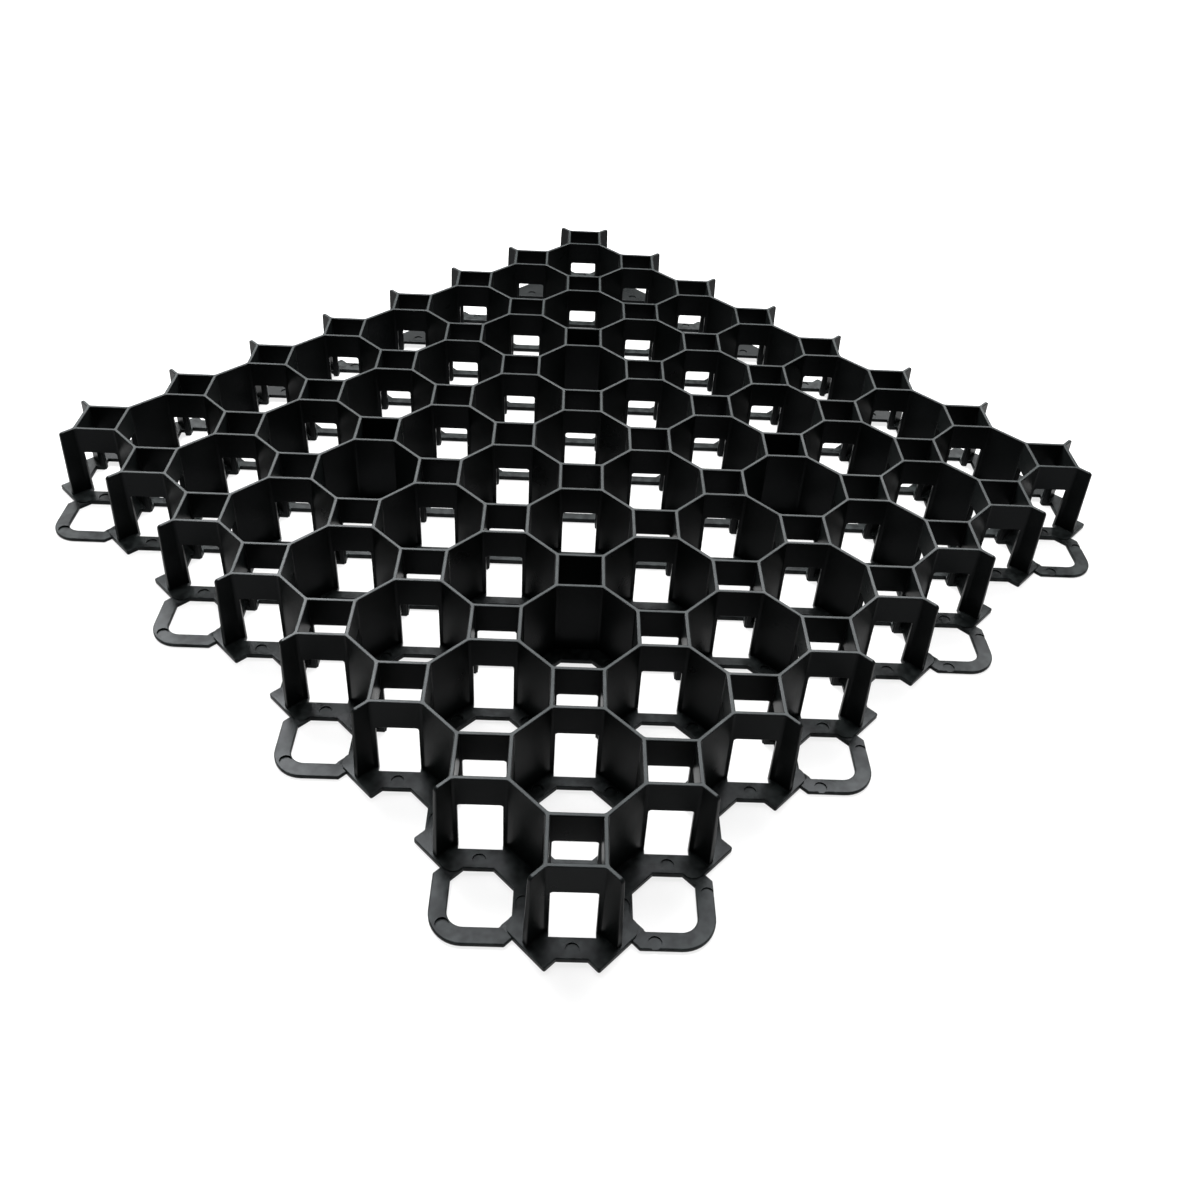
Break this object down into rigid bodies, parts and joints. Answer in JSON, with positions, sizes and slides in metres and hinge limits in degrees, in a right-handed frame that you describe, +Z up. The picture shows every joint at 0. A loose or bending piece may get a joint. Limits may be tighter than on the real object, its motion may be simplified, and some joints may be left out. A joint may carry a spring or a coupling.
{
  "type": "grass paver grid",
  "caption": "Square plastic paving grid of upright octagon and square cells on a flanged foot, with loop connectors along two edges; holds soil or gravel under traffic.",
  "frame": {"origin": "middle of the grid's outline, on the underside that lies on the ground", "axes": "+Z up out of the ground; X and Y along the grid's two edges, with the connector rings on the -X and -Y edges"},
  "size_m": [0.5226, 0.5226, 0.05],
  "materials": {
    "black_polypropylene": "satin as moulded"
  },
  "bodies": {
    "root": {"paver_grid": "black_polypropylene"}
  },
  "joints": []
}
